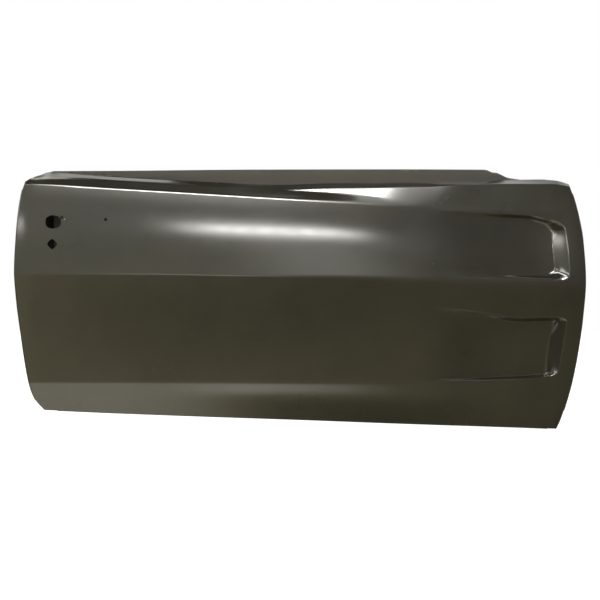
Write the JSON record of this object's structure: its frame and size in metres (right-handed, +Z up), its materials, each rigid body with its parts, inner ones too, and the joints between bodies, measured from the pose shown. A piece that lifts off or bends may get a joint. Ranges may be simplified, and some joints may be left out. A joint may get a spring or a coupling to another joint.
{
  "type": "car door shell",
  "caption": "Bare right-hand door shell of a two-door hardtop, hemmed steel skin with belt ledge and front scallops over a deep-drawn inner panel.",
  "frame": {"origin": "centre of the upper hinge face, on the front wall of the inner panel", "axes": "+X towards the front of the car and out of the hinge face, -Y out of the car, +Z up"},
  "size_m": [1.3296, 0.125, 0.6061],
  "materials": {
    "electro_coat": "satin dark bronze-black electro-coat",
    "mastic": "matt dark grey anti-flutter mastic"
  },
  "bodies": {
    "root": {"outer_skin": "electro_coat", "inner_panel": "electro_coat", "outer_belt_rail": "electro_coat", "inner_belt_rail": "electro_coat", "hinge_reinforcement": "electro_coat", "upper_hinge_nut_plate": "electro_coat", "lower_hinge_nut_plate": "electro_coat", "upper_nut_plate_cage": "electro_coat", "lower_nut_plate_cage": "electro_coat", "check_strap_plate": "electro_coat", "latch_reinforcement": "electro_coat", "skin_brace_rear": "electro_coat", "skin_brace_front": "electro_coat", "mastic_pad_1": "mastic", "mastic_pad_2": "mastic", "mastic_pad_3": "mastic", "mastic_pad_4": "mastic", "mastic_pad_5": "mastic", "mastic_pad_6": "mastic", "regulator_nut_1": "electro_coat", "regulator_nut_2": "electro_coat", "regulator_nut_3": "electro_coat", "regulator_nut_4": "electro_coat"}
  },
  "joints": []
}
